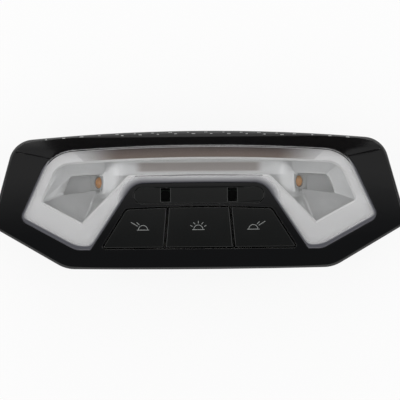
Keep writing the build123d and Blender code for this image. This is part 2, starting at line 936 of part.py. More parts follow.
def back_pockets():
    # Shallow recesses moulded into the back, which leave a grid of ribs
    span = foot_width - 2 * tub_inset
    pitch = span / back_rib_count
    pocket_height = (bezel_height - 2 * tub_inset) / 2 - 2 * back_rib
    pockets = Part()
    for place in GridLocations(pitch, pocket_height + back_rib, back_rib_count, 2):
        pockets += place * extrude(Rectangle(pitch - back_rib, pocket_height), back_recess)
    return pockets


def make_screw(x, y):
    head_z = flange_z - screw_head_height
    head = prism(Pos(x, y) * RegularPolygon(screw_head_radius, 6), head_z, flange_z)
    return head + prism(screw_section(x, y, screw_shank_radius), flange_z, flange_z + screw_length)


def make_spring_clip(x, y, out):
    # Folded sheet: a leg on the pad, a bend at the bottom and a spring leg with a knee
    leg = y + out * (clip_sheet / 2)
    bend = 2 * clip_bend_radius
    path = FilletPolyline(
        (leg, clip_high_z),
        (leg, clip_low_z),
        (leg + out * bend, clip_low_z),
        (y + out * clip_reach, clip_knee_z),
        (y + out * clip_tip_reach, clip_high_z),
        radius=clip_bend_radius * 0.8,
    )
    strip = trace(path, clip_sheet)
    return extrude(Plane.YZ.offset(x - clip_width / 2) * strip, clip_width, dir=(1, 0, 0))


# All nodes, written one STEP file each

nodes = {
    "bezel": make_bezel(),
    "lens": make_lens(),
    "trim_frame": make_trim_frame(),
    "reflector": make_reflector(),
    "sensor_cover": make_sensor_cover(),
    "sensor_board": make_sensor_board(),
    "sensor_header": make_sensor_header(),
    "sensor_pins": make_sensor_pins(),
    "button_guide": make_button_guide(),
    "circuit_board": make_circuit_board(),
    "button_backlights": make_backlights(),
    "control_chip": make_control_chip(),
    "connector_shell": make_connector_shell(),
    "connector_pins": make_connector_pins(),
    "rear_housing": make_rear_housing(),
    "housing_screws": Compound(children=[make_screw(x, y) for x, y in screw_places]),
}
for side, sign in (("left", -1), ("right", 1)):
    nodes["sensor_capsule_" + side] = make_sensor_capsule(sign)
    nodes["led_board_" + side] = make_led_board(sign)
    nodes["reading_led_" + side] = make_reading_led(sign)
for side in switch_x:
    nodes["button_" + side] = make_button(side)
    nodes["switch_" + side] = make_switch(side)
    nodes["plunger_" + side] = make_plunger(side)
for x, y, out in clip_places():
    name = "spring_clip_" + ("upper_" if out > 0 else "lower_") + ("right" if x > 0 else "left")
    nodes[name] = make_spring_clip(x, y, out)

os.makedirs("parts", exist_ok=True)
for name, solid in nodes.items():
    export_step(solid, f"parts/{name}.step")
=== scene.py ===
import bpy
import math
from mathutils import Matrix, Vector


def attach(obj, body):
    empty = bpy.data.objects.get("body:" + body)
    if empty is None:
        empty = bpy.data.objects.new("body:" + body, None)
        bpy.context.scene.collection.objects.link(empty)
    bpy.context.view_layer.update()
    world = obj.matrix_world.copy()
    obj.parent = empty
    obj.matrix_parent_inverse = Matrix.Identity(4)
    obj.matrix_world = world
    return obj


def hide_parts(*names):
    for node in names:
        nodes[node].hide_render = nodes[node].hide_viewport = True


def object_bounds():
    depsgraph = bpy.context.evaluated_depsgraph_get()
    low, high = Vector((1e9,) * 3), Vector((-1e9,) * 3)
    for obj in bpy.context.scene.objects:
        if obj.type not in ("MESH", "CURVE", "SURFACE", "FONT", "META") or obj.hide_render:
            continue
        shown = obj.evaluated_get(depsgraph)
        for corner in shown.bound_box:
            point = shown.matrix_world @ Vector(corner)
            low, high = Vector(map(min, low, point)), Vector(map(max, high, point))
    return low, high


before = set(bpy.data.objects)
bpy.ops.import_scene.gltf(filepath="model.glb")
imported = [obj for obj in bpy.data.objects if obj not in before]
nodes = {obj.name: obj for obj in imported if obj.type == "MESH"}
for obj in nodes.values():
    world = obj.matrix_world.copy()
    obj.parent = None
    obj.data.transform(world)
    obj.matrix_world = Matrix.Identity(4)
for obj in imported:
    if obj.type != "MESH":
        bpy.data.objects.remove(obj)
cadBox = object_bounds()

# Car dome light on its back: the front faces up, the long arched band of the lens points along +Y.
# Lengths in the dictionaries are millimetres.
mm = 0.001
cutTolerance = 0.002 * mm  # points closer than this are one point
flatAngle = math.radians(0.3)  # faces that meet at less than this are one face
levelNormal = 0.9  # a normal at least this steep points straight up or down
layHeight = 60 * mm  # above the whole lamp: what is laid on the front drops from here
scene = bpy.context.scene
scene.view_settings.view_transform = "Standard"


# helpers

def linearColour(code):
    # sRGB hex to linear RGBA
    values = [int(code[i:i + 2], 16) / 255 for i in (1, 3, 5)]
    return [v / 12.92 if v <= 0.04045 else ((v + 0.055) / 1.055) ** 2.4 for v in values] + [1.0]


def addNode(tree, kind, inputs=None, **settings):
    # one node with its settings, and its inputs set or linked
    node = tree.nodes.new(kind)
    for key, value in settings.items():
        setattr(node, key, value)
    for key, value in (inputs or {}).items():
        if isinstance(value, bpy.types.NodeSocket):
            tree.links.new(value, node.inputs[key])
        else:
            node.inputs[key].default_value = value
    return node


def newMaterial(name, **sockets):
    # Principled material, with its even values set on the shader's own sockets
    material = bpy.data.materials.new(name)
    material.use_nodes = True
    shader = material.node_tree.nodes["Principled BSDF"]
    for key, value in sockets.items():
        socket = shader.inputs[key.replace("_", " ")]
        socket.default_value = linearColour(value) if isinstance(value, str) else value
    return material, material.node_tree, shader


def perMetre(millimetres):
    # texture scale for a pattern of that size on Object coordinates
    return 1 / (millimetres * mm)


def setMaterial(piece, material):
    piece.data.materials.clear()
    piece.data.materials.append(material)


def selectOnly(piece):
    bpy.ops.object.select_all(action="DESELECT")
    piece.select_set(True)
    bpy.context.view_layer.objects.active = piece


def selectFaces(piece, test):
    # edit mode on the active piece, with only the faces that pass the test
    bpy.ops.object.mode_set(mode="EDIT")
    bpy.ops.mesh.select_mode(type="FACE")
    bpy.ops.mesh.select_all(action="DESELECT")
    bpy.ops.object.mode_set(mode="OBJECT")
    for face in piece.data.polygons:
        face.select = test(face)
    bpy.ops.object.mode_set(mode="EDIT")


def applyAll(piece):
    selectOnly(piece)
    for modifier in list(piece.modifiers):
        bpy.ops.object.modifier_apply(modifier=modifier.name)


def finishPiece(piece, name, body, material):
    # place goes into the mesh, the object to the origin
    selectOnly(piece)
    bpy.ops.object.transform_apply(location=True, rotation=True, scale=True)
    piece.name = name
    piece.data.name = name
    setMaterial(piece, material)
    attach(piece, body)
    return piece


def markRidges(piece, edge):
    # bevel weight on the long folds between faces that look out of the front
    mesh = piece.data
    normals = {}
    narrow = set()
    for face in mesh.polygons:
        for key in face.edge_keys:
            normals.setdefault(key, []).append(face.normal)
            if face.area < edge["smallest"] * mm * mm:
                narrow.add(key)
    weights = mesh.attributes.new("bevel_weight_edge", "FLOAT", "EDGE")
    for line in mesh.edges:
        sides = normals[line.key]
        ends = [mesh.vertices[i].co for i in line.vertices]
        long = (ends[1] - ends[0]).length > edge["shortest"] * mm and line.key not in narrow
        high = max(end.z for end in ends) > edge["lowest"] * mm
        seen = min(normal.z for normal in sides) > edge["leastFacing"]
        if long and high and seen and sides[0].angle(sides[-1]) > math.radians(edge["angle"]):
            weights.data[line.index].value = 1.0


def softCopy(nodeName, name, body, material, edge, reshape=None):
    # merged copy of a CAD piece with small moulded radii on its edges
    selectOnly(nodes[nodeName])
    bpy.ops.object.duplicate()
    piece = bpy.context.active_object
    for key in list(piece.keys()):
        del piece[key]
    piece.parent = None
    bpy.ops.object.mode_set(mode="EDIT")
    bpy.ops.mesh.select_all(action="SELECT")
    bpy.ops.mesh.remove_doubles(threshold=cutTolerance)
    bpy.ops.mesh.dissolve_limited(angle_limit=flatAngle)
    bpy.ops.object.mode_set(mode="OBJECT")
    if reshape:
        reshape(piece)
    bevel = piece.modifiers.new("edge", "BEVEL")
    bevel.width = edge["radius"] * mm
    bevel.segments = edge["segments"]
    bevel.angle_limit = math.radians(edge["angle"])
    bevel.use_clamp_overlap = False
    if "shortest" in edge:
        markRidges(piece, edge)
        bevel.limit_method = "WEIGHT"
    applyAll(piece)
    bpy.ops.object.shade_smooth_by_angle(angle=math.radians(edge["smooth"]))
    weighted = piece.modifiers.new("normals", "WEIGHTED_NORMAL")
    weighted.keep_sharp = True
    applyAll(piece)
    finishPiece(piece, name, body, material)
    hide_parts(nodeName)
    return piece


def addSheet(width, height, columns, rows):
    # flat grid of that size at the origin
    bpy.ops.object.select_all(action="DESELECT")
    bpy.ops.mesh.primitive_grid_add(
        x_subdivisions=columns, y_subdivisions=rows, size=1, location=(0, 0, 0))
    sheet = bpy.context.active_object
    sheet.scale = (width * mm, height * mm, 1)
    bpy.ops.object.transform_apply(location=False, rotation=False, scale=True)
    return sheet


def liftAbove(piece, x, y):
    # to its place above the front, ready to be laid on it
    selectOnly(piece)
    piece.location = (x * mm, y * mm, layHeight)
    bpy.ops.object.transform_apply(location=True, rotation=False, scale=False)


def bowSheet(sheet, half, radius):
    # bend a flat sheet to the arch of the lens band
    bow = sheet.modifiers.new("bow", "SIMPLE_DEFORM")
    bow.deform_method = "BEND"
    bow.deform_axis = "Z"
    bow.angle = -2 * half / radius
    applyAll(sheet)


def layOn(piece, target, gap=0.0):
    # modifier that drops a piece straight down onto the target
    lay = piece.modifiers.new("lay", "SHRINKWRAP")
    lay.target = target
    lay.wrap_method = "PROJECT"
    lay.use_project_z = True
    lay.use_positive_direction = False
    lay.use_negative_direction = True
    lay.offset = gap * mm


def joinPieces(pieces):
    # one object, in the first one's mesh
    selectOnly(pieces[0])
    for piece in pieces[1:]:
        piece.select_set(True)
    bpy.ops.object.join()
    return pieces[0]


# finishes

def unevenTone(tree, shader, size, detail, colours):
    # base colour that wanders between two tones, in patches of that size; returns the pattern
    place = addNode(tree, "ShaderNodeTexCoord").outputs["Object"]
    pattern = addNode(tree, "ShaderNodeTexNoise", {
        "Vector": place, "Scale": perMetre(size), "Detail": detail}).outputs["Fac"]
    dark, light = [linearColour(code) for code in colours]
    tone = addNode(tree, "ShaderNodeMixRGB", {"Fac": pattern, "Color1": dark, "Color2": light})
    tree.links.new(tone.outputs["Color"], shader.inputs["Base Color"])
    return pattern


def placeMask(tree, fades):
    # 1 where every coordinate is past the end of its fade, 0 before the start of any
    mask = 1.0
    for coordinate, (start, end) in fades:
        ramp = addNode(tree, "ShaderNodeMapRange", {
            "Value": coordinate, "From Min": start * mm, "From Max": end * mm},
            interpolation_type="SMOOTHSTEP").outputs["Result"]
        mask = addNode(tree, "ShaderNodeMath", {0: mask, 1: ramp}, operation="MULTIPLY").outputs[0]
    return mask


def glossBlackAbs():
    # Polished ABS, moulded in a bright tool: deep black, clear reflections, a faint long ripple
    material, tree, shader = newMaterial(
        "gloss_black_abs", Base_Color="#070708", Roughness=0.06, IOR=1.53)
    place = addNode(tree, "ShaderNodeTexCoord").outputs["Object"]
    ripple = addNode(tree, "ShaderNodeTexNoise", {
        "Vector": place, "Scale": perMetre(9), "Detail": 1.0})
    bump = addNode(tree, "ShaderNodeBump", {
        "Height": ripple.outputs["Fac"], "Strength": 0.05, "Distance": 0.02 * mm})
    tree.links.new(bump.outputs["Normal"], shader.inputs["Normal"])
    return material


def satinBlackAbs():
    # ABS with a fine spark-eroded grain, drawn coarser than the real one so that it shows, and
    # worn a little smoother in patches
    material, tree, shader = newMaterial("satin_black_abs", Base_Color="#070807", IOR=1.53)
    place = addNode(tree, "ShaderNodeTexCoord").outputs["Object"]
    grain = addNode(tree, "ShaderNodeTexNoise", {
        "Vector": place, "Scale": perMetre(0.25), "Detail": 3.0})
    patch = addNode(tree, "ShaderNodeTexNoise", {
        "Vector": place, "Scale": perMetre(12), "Detail": 2.0})
    rough = addNode(tree, "ShaderNodeMapRange", {
        "Value": patch.outputs["Fac"], "To Min": 0.18, "To Max": 0.26})
    bump = addNode(tree, "ShaderNodeBump", {
        "Height": grain.outputs["Fac"], "Strength": 0.1, "Distance": 0.02 * mm})
    tree.links.new(rough.outputs["Result"], shader.inputs["Roughness"])
    tree.links.new(bump.outputs["Normal"], shader.inputs["Normal"])
    return material


# painted shade along the lens's edges: its colour, its widths and the lines it follows
lensEdgeShade = {
    "colour": "#56565c", "clear": "#f6f6f8", "width": (1.5, 2.6), "corner": 3.0,
    "shoulder": (71.1, 23.7), "ear": (85.9, -8.9), "foot": (59.1, -23.6), "flankInset": 0.9,
    "tip": (52.2, -23.6), "neck": (33.25, 5.0), "sideInset": 1.0,
    "islandMiddle": (26.4, -0.9), "islandRadius": 9.3, "islandFade": 0.25,
}


def clearPolycarbonate():
    # Clear polycarbonate, polished on both sides, with painted violet-grey shade along its lower
    # edges, up the flanks and round the island, for the dark seen through its rounded edges
    material, tree, shader = newMaterial("clear_polycarbonate", Roughness=0.02, IOR=1.585)
    place = addNode(tree, "ShaderNodeTexCoord").outputs["Object"]
    axes = addNode(tree, "ShaderNodeSeparateXYZ", {"Vector": place}).outputs
    across = addNode(tree, "ShaderNodeMath", {0: axes["X"]}, operation="ABSOLUTE").outputs[0]
    mirrored = addNode(tree, "ShaderNodeCombineXYZ", {
        "X": across, "Y": axes["Y"]}).outputs["Vector"]
    shoulder, ear, foot, tip, neck, corner = [
        Vector((*lensEdgeShade[name], 0)) * mm
        for name in ("shoulder", "ear", "foot", "tip", "neck", "islandMiddle")]
    full, none = [v * mm for v in lensEdgeShade["width"]]
    # distances from the foot, the flanks and the island's side, blended round the corners
    edge, belowNeck = [
        addNode(tree, "ShaderNodeMath", {0: axes["Y"], 1: point.y}, operation="SUBTRACT").outputs[0]
        for point in (foot, neck)]
    for start, end, inset, limit in (
            (ear, foot, 0.0, None), (shoulder, ear, lensEdgeShade["flankInset"], None),
            (tip, neck, lensEdgeShade["sideInset"], belowNeck)):
        along = (end - start).normalized()
        inward = Vector((along.y, -along.x, 0))
        flank = addNode(tree, "ShaderNodeVectorMath", {
            0: mirrored, 1: inward}, operation="DOT_PRODUCT").outputs["Value"]
        inside = addNode(tree, "ShaderNodeMath", {
            0: flank, 1: inset * mm - start.dot(inward)}).outputs[0]
        if limit:
            inside = addNode(tree, "ShaderNodeMath", {
                0: inside, 1: limit}, operation="MAXIMUM").outputs[0]
        edge = addNode(tree, "ShaderNodeMath", {
            0: edge, 1: inside, 2: lensEdgeShade["corner"] * mm}, operation="SMOOTH_MIN").outputs[0]
    # distance above the island's rounded top
    past = addNode(tree, "ShaderNodeVectorMath", {
        0: mirrored, 1: corner}, operation="SUBTRACT").outputs["Vector"]
    past = addNode(tree, "ShaderNodeVectorMath", {0: past}, operation="MAXIMUM").outputs["Vector"]
    reach = addNode(tree, "ShaderNodeVectorMath", {0: past}, operation="LENGTH").outputs["Value"]
    above = addNode(tree, "ShaderNodeMath", {
        0: reach, 1: lensEdgeShade["islandRadius"] * mm}, operation="SUBTRACT").outputs[0]
    island = addNode(tree, "ShaderNodeMath", {
        0: above, 1: lensEdgeShade["islandFade"], 2: full}, operation="MULTIPLY_ADD").outputs[0]
    edge = addNode(tree, "ShaderNodeMath", {0: edge, 1: island}, operation="MINIMUM").outputs[0]
    # painted shade: darker and less see-through towards the edges
    seeThrough = addNode(tree, "ShaderNodeMapRange", {
        "Value": edge, "From Min": full, "From Max": none},
        interpolation_type="SMOOTHSTEP").outputs["Result"]
    tone = addNode(tree, "ShaderNodeMixRGB", {
        "Fac": seeThrough, "Color1": linearColour(lensEdgeShade["colour"]),
        "Color2": linearColour(lensEdgeShade["clear"])})
    tree.links.new(tone.outputs["Color"], shader.inputs["Base Color"])
    tree.links.new(seeThrough, shader.inputs["Transmission Weight"])
    return material


def satinSilverPaint():
    # Silver paint on plastic: aluminium flake, drawn coarser than the real one so that it shows,
    # under a satin clear coat
    material, tree, shader = newMaterial("satin_silver_paint", Metallic=0.15, IOR=1.5)
    flake = unevenTone(tree, shader, 0.45, 4.0, ("#d6d6d4", "#e9e9e7"))
    rough = addNode(tree, "ShaderNodeMapRange", {"Value": flake, "To Min": 0.42, "To Max": 0.52})
    bump = addNode(tree, "ShaderNodeBump", {
        "Height": flake, "Strength": 0.2, "Distance": 0.03 * mm})
    tree.links.new(rough.outputs["Result"], shader.inputs["Roughness"])
    tree.links.new(bump.outputs["Normal"], shader.inputs["Normal"])
    return material


# the band's tint is a painted dark reflection, the lip tint a painted highlight
reflectorBand = {
    "paintedTint": "#b3aca7", "half": (26.5, 31.5), "low": (13.1, 14.4), "high": (17.4, 18.6),
    "paintedHighlightTint": "#ecedeb", "lip": (11.5, 12.5), "lipHalf": (36.0, 43.0),
}
# painted light: the reflector turns whiter deeper down in the cavities
reflectorCavity = {"paintedTint": "#dddedc", "height": (19.0, 25.0)}


def vacuumMetal():
    # Aluminium evaporated onto a moulded reflector: satin, uneven in places, with painted light
    # that whitens it down in the cavities, a taupe painted dark reflection on the band between the
    # wells and painted highlights on the lips round it
    material, tree, shader = newMaterial("vacuum_metallised_pc", Metallic=0.45)
    place = addNode(tree, "ShaderNodeTexCoord").outputs["Object"]
    film = addNode(tree, "ShaderNodeTexNoise", {
        "Vector": place, "Scale": perMetre(3), "Detail": 4.0}).outputs["Fac"]
    tone = addNode(tree, "ShaderNodeMixRGB", {
        "Fac": film, "Color1": linearColour("#bcbdbb"),
        "Color2": linearColour("#cacbc9")}).outputs["Color"]
    axes = addNode(tree, "ShaderNodeSeparateXYZ", {"Vector": place}).outputs
    across = addNode(tree, "ShaderNodeMath", {0: axes["X"]}, operation="ABSOLUTE").outputs[0]
    # painted light, whiter deep in the cavities
    cavityPaintedLight = [(axes["Z"], reflectorCavity["height"][::-1])]
    # painted highlight on the pale lips round the band
    paintedHighlightFades = [(across, reflectorBand["lipHalf"][::-1]), (axes["Y"], reflectorBand["lip"])]
    # painted dark reflection on the band between the wells
    paintedDarkReflection = [(across, reflectorBand["half"][::-1]), (axes["Y"], reflectorBand["low"]),
             (axes["Y"], reflectorBand["high"][::-1])]
    for fades, paintedTint in ((cavityPaintedLight, reflectorCavity["paintedTint"]), (paintedHighlightFades, reflectorBand["paintedHighlightTint"]),
                        (paintedDarkReflection, reflectorBand["paintedTint"])):
        tone = addNode(tree, "ShaderNodeMixRGB", {
            "Fac": placeMask(tree, fades), "Color1": tone,
            "Color2": linearColour(paintedTint)}).outputs["Color"]
    rough = addNode(tree, "ShaderNodeMapRange", {"Value": film, "To Min": 0.26, "To Max": 0.34})
    tree.links.new(tone, shader.inputs["Base Color"])
    tree.links.new(rough.outputs["Result"], shader.inputs["Roughness"])
    return material


def plainPlastic(name, colour, roughness, grain, shine=0.5):
    # Moulded engineering plastic with an eroded tool grain, drawn coarse enough to show
    wander = 0.06  # of the roughness
    material, tree, shader = newMaterial(name, Base_Color=colour, IOR=1.5, Specular_IOR_Level=shine)
    place = addNode(tree, "ShaderNodeTexCoord").outputs["Object"]
    noise = addNode(tree, "ShaderNodeTexNoise", {
        "Vector": place, "Scale": perMetre(grain), "Detail": 3.0}).outputs["Fac"]
    rough = addNode(tree, "ShaderNodeMapRange", {
        "Value": noise, "To Min": roughness - wander, "To Max": roughness + wander})
    bump = addNode(tree, "ShaderNodeBump", {
        "Height": noise, "Strength": 0.35, "Distance": 0.05 * mm})
    tree.links.new(rough.outputs["Result"], shader.inputs["Roughness"])
    tree.links.new(bump.outputs["Normal"], shader.inputs["Normal"])
    return material


def plainMetal(name, dark, light, roughness, grain):
    # Plated or rolled metal: the tone and gloss wander with the grain of the sheet
    wander = 0.08  # of the roughness
    material, tree, shader = newMaterial(name, Metallic=1.0)
    place = addNode(tree, "ShaderNodeTexCoord").outputs["Object"]
    drawn = addNode(tree, "ShaderNodeMapping", {"Vector": place, "Scale": (1.0, 0.15, 0.15)})
    noise = addNode(tree, "ShaderNodeTexNoise", {
        "Vector": drawn.outputs["Vector"], "Scale": perMetre(grain), "Detail": 4.0}).outputs["Fac"]
    tone = addNode(tree, "ShaderNodeMixRGB", {
        "Fac": noise, "Color1": linearColour(dark), "Color2": linearColour(light)})
    rough = addNode(tree, "ShaderNodeMapRange", {
        "Value": noise, "To Min": roughness - wander, "To Max": roughness + wander})
    tree.links.new(tone.outputs["Color"], shader.inputs["Base Color"])
    tree.links.new(rough.outputs["Result"], shader.inputs["Roughness"])
    return material


# camera: the photo looks almost straight down on the front, a little from the button side

photoCamera = {
    "aim": (0.5, -0.05, 34.0), "distance": 3000.0, "frameWidth": 191.4, "tilt": 0.5, "roll": -0.5,
    "sensor": 36.0, "nearest": 10.0,
}


def makeCamera():
    aim = Vector(photoCamera["aim"]) * mm
    turn = Matrix.Rotation(math.radians(photoCamera["tilt"]), 4, "X")
    back = Matrix.Translation((0, 0, photoCamera["distance"] * mm))
    roll = Matrix.Rotation(math.radians(photoCamera["roll"]), 4, "Z")
    bpy.ops.object.camera_add()
    camera = bpy.context.active_object
    camera.name = "photo_camera"
    camera.matrix_world = Matrix.Translation(aim) @ turn @ back @ roll
    camera.data.sensor_width = photoCamera["sensor"]
    camera.data.lens = photoCamera["sensor"] * photoCamera["distance"] / photoCamera["frameWidth"]
    camera.data.clip_start = photoCamera["nearest"] * mm
    scene.camera = camera


# floor and light: a bright tent with a greyer roof, a dim opening in it and a dark card

studio = {"floorSize": 6000.0, "floorColour": "#f4f4f4", "floorGlow": 0.88}
tent = {
    "wall": "#f8f8f7", "horizon": "#48494b", "roof": "#b1b1b1", "opening": "#5c5e60",
    "wallAngle": (66.0, 84.0), "roofAngle": (30.0, 48.0), "openingAngle": (10.0, 24.0),
    "openingLean": -18.0,
}
darkCard = {
    "height": 500.0, "colour": "#4b4746",
    "left": (-72.0, -85.5, -97.0), "right": (78.0, 96.0, 110.0), "up": (136.0, 345.0, 640.0),
}
softBoxes = {
    "side_left": {"place": (-900.0, -100.0, 800.0), "size": (700.0, 700.0), "watts": 2.1},
    "side_right": {"place": (900.0, -100.0, 800.0), "size": (700.0, 700.0), "watts": 2.1},
    "front": {"place": (0.0, -1000.0, 700.0), "size": (900.0, 500.0), "watts": 0.7},
    "back": {"place": (0.0, 1100.0, 420.0), "size": (1200.0, 300.0), "watts": 3.2},
}


def makeFloor():
    bpy.ops.mesh.primitive_plane_add(size=studio["floorSize"] * mm, location=(0, 0, 0))
    floor = bpy.context.active_object
    floor.name = "floor"
    # matt paper, lifted to white where it is looked at, with the shadow kept
    material, tree, shader = newMaterial(
        "pale_paper", Base_Color=studio["floorColour"], Roughness=0.9)
    rays = addNode(tree, "ShaderNodeLightPath").outputs
    seen = rays["Is Camera Ray"]
    for kind in ("Is Glossy Ray", "Is Transmission Ray"):
        seen = addNode(tree, "ShaderNodeMath", {
            0: seen, 1: rays[kind]}, operation="MAXIMUM").outputs[0]
    share = addNode(tree, "ShaderNodeMath", {0: seen, 1: studio["floorGlow"]}, operation="MULTIPLY")
    white = addNode(tree, "ShaderNodeEmission", {"Strength": 1.0})
    mix = addNode(tree, "ShaderNodeMixShader", {
        0: share.outputs[0], 1: shader.outputs["BSDF"], 2: white.outputs["Emission"]})
    tree.links.new(mix.outputs["Shader"], tree.nodes["Material Output"].inputs["Surface"])
    setMaterial(floor, material)


def makeDarkCard():
    # dark board up on the +Y side, left out of view: it gives the rolled top band its deep black
    rows = len(darkCard["up"]) - 1
    bpy.ops.mesh.primitive_grid_add(
        x_subdivisions=1, y_subdivisions=rows, size=1, location=(0, 0, 0))
    card = bpy.context.active_object
    card.name = "dark_card"
    for vertex in card.data.vertices:
        row = round((vertex.co.y + 0.5) * rows)
        end = darkCard["left" if vertex.co.x < 0 else "right"][row]
        vertex.co = Vector((end, darkCard["up"][row], darkCard["height"])) * mm
    material, _, _ = newMaterial("brown_felt", Base_Color=darkCard["colour"], Roughness=0.9)
    setMaterial(card, material)
    card.visible_camera = False
    card.visible_diffuse = False
    card.visible_shadow = False


def tentMask(tree, direction, lean, angles):
    # 1 inside a cone about a direction that leans from the zenith towards +Y, 0 outside it
    axis = (0.0, math.sin(math.radians(lean)), math.cos(math.radians(lean)))
    along = addNode(tree, "ShaderNodeVectorMath", {0: direction, 1: axis}, operation="DOT_PRODUCT")
    inner, outer = [math.cos(math.radians(a)) for a in angles]
    return addNode(tree, "ShaderNodeMapRange", {
        "Value": along.outputs["Value"], "From Min": outer, "From Max": inner},
        interpolation_type="SMOOTHSTEP").outputs["Result"]


def makeTent():
    world = bpy.data.worlds.new("tent")
    world.use_nodes = True
    scene.world = world
    tree = world.node_tree
    direction = addNode(tree, "ShaderNodeTexCoord").outputs["Generated"]
    tone = linearColour(tent["horizon"])
    for zone, lean in (("wall", 0.0), ("roof", 0.0), ("opening", tent["openingLean"])):
        mask = tentMask(tree, direction, lean, tent[zone + "Angle"])
        tone = addNode(tree, "ShaderNodeMixRGB", {
            "Fac": mask, "Color1": tone, "Color2": linearColour(tent[zone])}).outputs["Color"]
    tree.links.new(tone, tree.nodes["Background"].inputs["Color"])
    for name, box in softBoxes.items():
        place = Vector(box["place"]) * mm
        bpy.ops.object.light_add(type="AREA", location=place)
        lamp = bpy.context.active_object
        lamp.name = name
        lamp.data.shape = "RECTANGLE"
        lamp.data.size = box["size"][0] * mm
        lamp.data.size_y = box["size"][1] * mm
        lamp.data.energy = box["watts"]
        lamp.rotation_euler = (-place).to_track_quat("-Z", "Y").to_euler()


print("stage: camera and studio")
makeCamera()
makeFloor()
makeDarkCard()
makeTent()

print("stage: front pieces")
blackGloss = glossBlackAbs()
blackSatin = satinBlackAbs()
silver = satinSilverPaint()
metallised = vacuumMetal()
clear = clearPolycarbonate()

bezelCrease = {
    "inner": (70.0, 20.4), "outer": (87.0, 24.06), "width": 1.2, "depth": 0.1,
    "ends": (0.02, 0.98), "onLine": 0.05, "leastFacing": 0.5,
}


def cutCreases(piece):
    # a fine groove from each upper corner of the lens to the bezel's corner
    half = bezelCrease["width"] / 2 * mm
    facing = bezelCrease["leastFacing"]
    selectOnly(piece)
    for side in (-1, 1):
        start, end = [
            Vector((side * x, y, 0)) * mm for x, y in (bezelCrease["inner"], bezelCrease["outer"])]
        along = (end - start).normalized()
        aside = Vector((-along.y, along.x, 0))
        cuts = [(start + aside * offset, aside) for offset in (-half, 0, half)]
        cuts += [(start.lerp(end, share), along) for share in bezelCrease["ends"]]
        for place, normal in cuts:
            selectFaces(piece, lambda face: face.normal.z > facing and any(
                piece.data.vertices[i].co.x * side > start.x * side for i in face.vertices))
            bpy.ops.mesh.bisect(plane_co=place, plane_no=normal, threshold=cutTolerance)
            bpy.ops.object.mode_set(mode="OBJECT")
        bpy.ops.object.mode_set(mode="EDIT")
        bpy.ops.mesh.select_mode(type="VERT")
        bpy.ops.mesh.select_all(action="DESELECT")
        bpy.ops.object.mode_set(mode="OBJECT")
        for point in piece.data.vertices:
            past = point.co - start
            near = abs(past.dot(aside)) < half * bezelCrease["onLine"]
            between = 0 < past.dot(along) < (end - start).length
            point.select = near and between and point.normal.z > facing
        bpy.ops.object.mode_set(mode="EDIT")
        bpy.ops.transform.translate(value=(0, 0, -bezelCrease["depth"] * mm))
        bpy.ops.mesh.mark_sharp()
        bpy.ops.object.mode_set(mode="OBJECT")


rampBlend = {
    "across": (25.5, 46.0), "up": (0.5, 20.5), "lowest": 25.2, "highest": 30.9,
    "step": 1.25, "fade": 2.0, "guideStep": 0.8, "passes": 50, "leastFacing": 0.2,
}


def onRamp(point):
    across, up = rampBlend["across"], rampBlend["up"]
    return across[0] < abs(point.x) / mm < across[1] and up[0] < point.y / mm < up[1]


def cutRamps(piece):
    # finer mesh where the band's floor runs into its ramps
    (left, right), (low, high) = rampBlend["across"], rampBlend["up"]
    step = rampBlend["step"]

    def cutHere(face):
        facing = face.normal.z > rampBlend["leastFacing"]
        return facing and face.center.z < rampBlend["highest"] * mm and any(
            onRamp(piece.data.vertices[i].co) for i in face.vertices)

    columns = range(1, int((right - left) / step) + 1)
    rows = range(1, int((high - low) / step) + 1)
    cuts = [((1, 0, 0), side * (left + i * step)) for side in (-1, 1) for i in columns]
    cuts += [((0, 1, 0), low + i * step) for i in rows]
    selectOnly(piece)
    for normal, place in cuts:
        selectFaces(piece, cutHere)
        bpy.ops.mesh.bisect(
            plane_co=Vector(normal) * place * mm, plane_no=normal, threshold=cutTolerance)
        bpy.ops.object.mode_set(mode="OBJECT")


def blendRamps(piece):
    # no folds where the band's floor runs into its ramps: the shading follows an evened-out grid
    (left, right), (low, high) = rampBlend["across"], rampBlend["up"]
    width, height, step = 2 * right, high - low, rampBlend["guideStep"]
    guide = addSheet(width, height, int(width / step), int(height / step))
    liftAbove(guide, 0, (low + high) / 2)
    layOn(guide, piece)
    applyAll(guide)
    floor, ceiling = [rampBlend[name] * mm for name in ("lowest", "highest")]
    selectFaces(guide, lambda face: not all(
        floor < guide.data.vertices[i].co.z < ceiling for i in face.vertices))
    bpy.ops.mesh.delete(type="FACE")
    bpy.ops.object.mode_set(mode="OBJECT")
    even = guide.modifiers.new("even", "SMOOTH")
    even.iterations = rampBlend["passes"]
    even.use_x = even.use_y = False
    applyAll(guide)
    ramp = piece.vertex_groups.new(name="ramp")
    for point in piece.data.vertices:
        facing = point.normal.z > rampBlend["leastFacing"]
        if facing and onRamp(point.co) and point.co.z < ceiling:
            across, up = abs(point.co.x) / mm, point.co.y / mm
            inside = min(across - left, right - across, up - low)
            ramp.add([point.index], min(1.0, inside / rampBlend["fade"]), "REPLACE")
    shading = piece.modifiers.new("shading", "DATA_TRANSFER")
    shading.object = guide
    shading.use_loop_data = True
    shading.data_types_loops = {"CUSTOM_NORMAL"}
    shading.loop_mapping = "POLYINTERP_NEAREST"
    shading.vertex_group = ramp.name
    applyAll(piece)
    bpy.data.objects.remove(guide)


sensorSlot = {"width": 6.0, "reach": 22.0, "leastFacing": 0.98}


